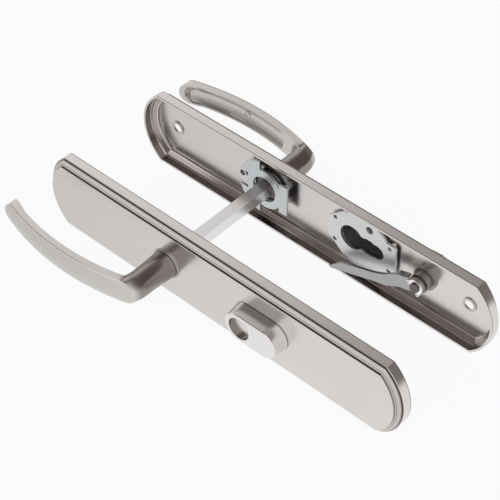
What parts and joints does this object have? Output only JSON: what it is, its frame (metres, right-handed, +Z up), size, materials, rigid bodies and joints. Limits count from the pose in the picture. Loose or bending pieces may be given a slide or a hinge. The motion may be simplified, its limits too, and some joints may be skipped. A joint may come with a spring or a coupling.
{
  "type": "backplate door handle",
  "caption": "Door handle set with long stepped back plates, bowed levers on a square spindle, a cylinder cover outside, and a closed cap and a thumbturn with a latch arm inside.",
  "frame": {"origin": "midway between the inner plate's two screw holes, in the plate's thickness", "axes": "+Y from the door into the room along the spindle, +Z up the plates towards the grips' tips, +X across the plates"},
  "size_m": [0.055, 0.181, 0.285],
  "materials": {
    "plate": "satin nickel plated",
    "lever": "satin nickel plated",
    "cover": "satin nickel plated",
    "disc": "satin",
    "zinc": "bright zinc plated",
    "spindle": "bright zinc plated",
    "bush": "nickel plated",
    "arm": "bare steel",
    "clip": "bright",
    "washer": "moulded",
    "screw": "zinc plated"
  },
  "bodies": {
    "plates": {"outer_plate": "plate", "inner_plate": "plate", "outer_posts": "screw", "outer_bush": "bush", "inner_bush": "bush", "outer_bearing_plate": "zinc", "inner_bearing_plate": "zinc", "cylinder_plate": "zinc", "cylinder_cover": "cover", "cover_disc": "disc", "cover_screws": "screw", "inner_cap": "cover", "turn_bush": "bush"},
    "levers": {"outer_lever": "lever", "inner_lever": "lever", "spindle": "spindle", "grub_screws": "screw", "outer_washer": "washer", "inner_washer": "washer", "outer_clip": "clip", "inner_clip": "clip"},
    "turn": {"thumbturn": "lever", "turn_washer": "washer", "night_arm": "arm", "turn_clip": "clip"}
  },
  "joints": [
    {"name": "lever_turn", "type": "hinge", "parent": "plates", "child": "levers", "pos_m": [0, -0.0458, 0.037], "axis": [0, 1, 0], "range_deg": [-130, 130]},
    {"name": "thumb_turn", "type": "hinge", "parent": "plates", "child": "turn", "pos_m": [0, 0, -0.086], "axis": [0, 1, 0], "range_deg": [-71.5, 18.5]}
  ]
}
